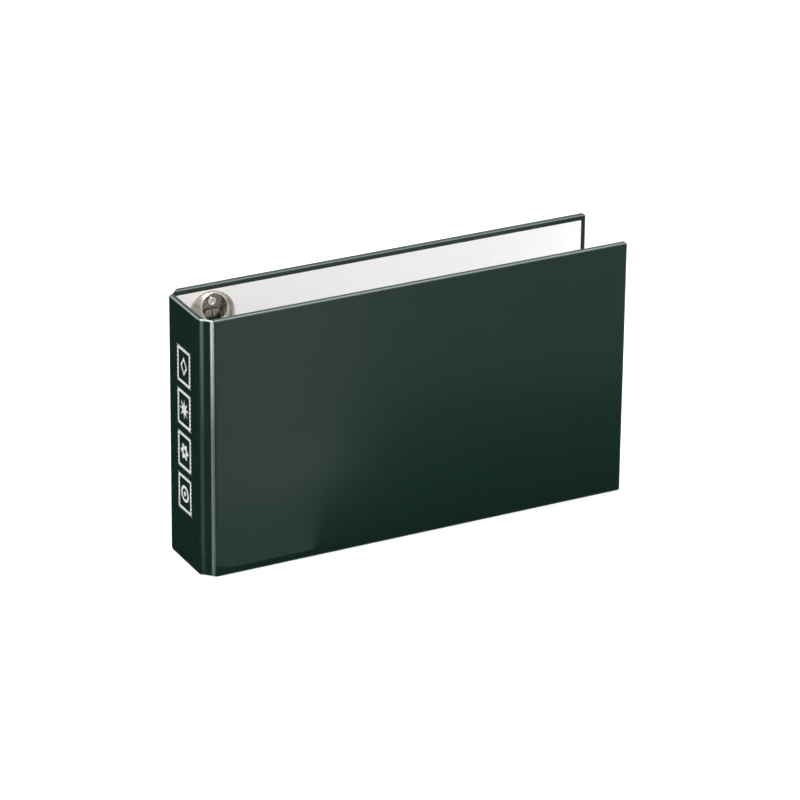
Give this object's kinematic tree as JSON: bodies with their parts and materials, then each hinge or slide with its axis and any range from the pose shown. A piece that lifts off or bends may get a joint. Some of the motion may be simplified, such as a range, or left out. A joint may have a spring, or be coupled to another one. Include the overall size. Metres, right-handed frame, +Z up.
{
  "type": "two-ring landscape binder",
  "caption": "Landscape two-ring binder with stiff covers, creased hinge strips, a flat spine and an arched ring mechanism riveted inside the back cover.",
  "frame": {"origin": "under the middle of the binder, on the surface that its bottom edge stands on", "axes": "+X from the spine to the fore-edge, +Y from the front cover to the back cover, +Z up along the spine"},
  "size_m": [0.25, 0.0494, 0.146],
  "materials": {
    "laminate": "satin green-black laminated sheet",
    "greyboard": "raw greyboard",
    "white_lining": "smooth white lining paper",
    "nickel_mechanism": "nickel-plated pressed steel",
    "nickel_rings": "nickel-plated steel wire",
    "silver_foil": "hot-stamped silver foil ornaments on the spine",
    "nickel_rivets": "nickel-plated tubular rivet"
  },
  "bodies": {
    "spine": {"spine_board": "greyboard", "spine_wrap": "laminate", "spine_lining": "white_lining"},
    "front_joint": {"front_joint_wrap": "laminate", "front_joint_lining": "white_lining"},
    "front_cover": {"front_board": "greyboard", "front_cover_wrap": "laminate", "front_lining": "white_lining"},
    "back_joint": {"back_joint_wrap": "laminate", "back_joint_lining": "white_lining"},
    "back_cover": {"back_board": "greyboard", "back_cover_wrap": "laminate", "back_lining": "white_lining", "ring_housing": "nickel_mechanism", "upper_tube_rivet": "nickel_rivets", "lower_tube_rivet": "nickel_rivets"},
    "spine_side_ring_plate": {"spine_side_hinge_plate": "nickel_mechanism", "upper_ring_curved_half": "nickel_rings", "lower_ring_curved_half": "nickel_rings"},
    "fore_side_ring_plate": {"fore_side_hinge_plate": "nickel_mechanism", "upper_ring_straight_half": "nickel_rings", "lower_ring_straight_half": "nickel_rings"}
  },
  "joints": [
    {"name": "front_cover_crease", "type": "hinge", "parent": "front_joint", "child": "front_cover", "pos_m": [-0.1198, -0.02465, 0.073], "axis": [0, 0, -1], "range_deg": [-2.2, 45]},
    {"name": "front_spine_crease", "type": "hinge", "parent": "spine", "child": "front_joint", "pos_m": [-0.125, -0.01945, 0.073], "axis": [0, 0, -1], "range_deg": [-2.2, 45]},
    {"name": "back_cover_crease", "type": "hinge", "parent": "back_joint", "child": "back_cover", "pos_m": [-0.1198, 0.02335, 0.073], "axis": [0, 0, 1], "range_deg": [-2.2, 45]},
    {"name": "back_spine_crease", "type": "hinge", "parent": "spine", "child": "back_joint", "pos_m": [-0.125, 0.01815, 0.073], "axis": [0, 0, 1], "range_deg": [-2.2, 45]},
    {"name": "ring_opening", "type": "hinge", "parent": "back_cover", "child": "spine_side_ring_plate", "pos_m": [-0.1109, 0.0188, 0.073], "axis": [0, 0, -1], "range_deg": [0, 16]},
    {"name": "fore_side_ring_opening", "type": "hinge", "parent": "back_cover", "child": "fore_side_ring_plate", "pos_m": [-0.0881, 0.0188, 0.073], "axis": [0, 0, 1], "range_deg": [0, 16]}
  ],
  "couplings": [
    {"joint": "front_spine_crease", "follows": "front_cover_crease", "ratio": 1},
    {"joint": "back_spine_crease", "follows": "back_cover_crease", "ratio": 1},
    {"joint": "fore_side_ring_opening", "follows": "ring_opening", "ratio": 1}
  ]
}
